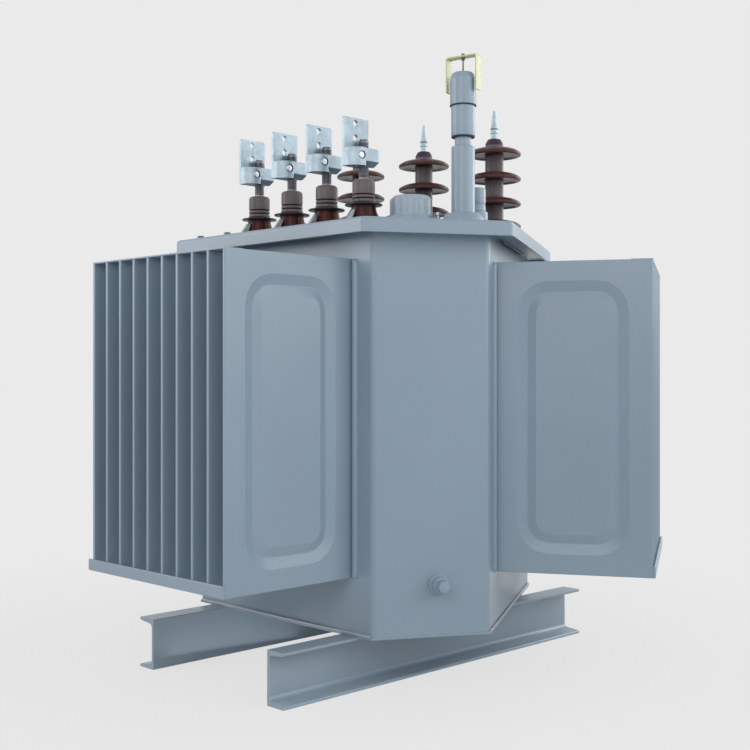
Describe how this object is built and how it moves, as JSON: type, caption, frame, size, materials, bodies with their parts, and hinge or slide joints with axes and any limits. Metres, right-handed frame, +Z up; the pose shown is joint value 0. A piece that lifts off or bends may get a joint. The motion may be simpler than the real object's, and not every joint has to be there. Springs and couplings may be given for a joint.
{
  "type": "oil-filled distribution transformer",
  "caption": "Sealed oil-filled transformer: six-sided tank with fin banks on its long faces, lid with porcelain bushings, flag terminals and oil gauge, on channel skids.",
  "frame": {"origin": "centre of the plan box at floor level; the tank axis is 53 mm behind it, towards +Y", "axes": "+Z up, -Y out of the low-voltage finned face, +X to the right seen from that face"},
  "size_m": [1.2286, 1.064, 1.203],
  "materials": {
    "tank_paint": "semi-gloss blue-grey paint",
    "porcelain": "glossy red-brown glaze",
    "stud_metal": "darkened brass",
    "tinned_metal": "satin tin plating",
    "yoke_paint": "pale yellow paint"
  },
  "bodies": {
    "root": {"skid_left": "tank_paint", "skid_right": "tank_paint", "base_plate": "tank_paint", "front_wall": "tank_paint", "right_wall": "tank_paint", "left_wall": "tank_paint", "front_right_corner": "tank_paint", "back_corner": "tank_paint", "front_left_corner": "tank_paint", "front_fins": "tank_paint", "right_fins": "tank_paint", "left_fins": "tank_paint", "front_fin_bar": "tank_paint", "right_fin_bar": "tank_paint", "left_fin_bar": "tank_paint", "rim_flange": "tank_paint", "lid": "tank_paint", "filler_pipe": "tank_paint", "gauge_sleeve": "tank_paint", "gauge_cap": "tank_paint", "tap_changer_cap": "tank_paint", "thermometer_pocket": "tank_paint", "drain_boss": "tank_paint", "drain_plug": "tank_paint", "lv_bushing_1": "porcelain", "lv_bushing_2": "porcelain", "lv_bushing_3": "porcelain", "lv_bushing_4": "porcelain", "hv_bushing_1": "porcelain", "hv_bushing_2": "porcelain", "hv_bushing_3": "porcelain", "lv_stud_1": "stud_metal", "lv_stud_2": "stud_metal", "lv_stud_3": "stud_metal", "lv_stud_4": "stud_metal", "gauge_rod": "stud_metal", "lv_clamp_1": "tinned_metal", "lv_clamp_2": "tinned_metal", "lv_clamp_3": "tinned_metal", "lv_clamp_4": "tinned_metal", "hv_terminal_1": "tinned_metal", "hv_terminal_2": "tinned_metal", "hv_terminal_3": "tinned_metal", "relief_yoke": "yoke_paint"}
  },
  "joints": []
}
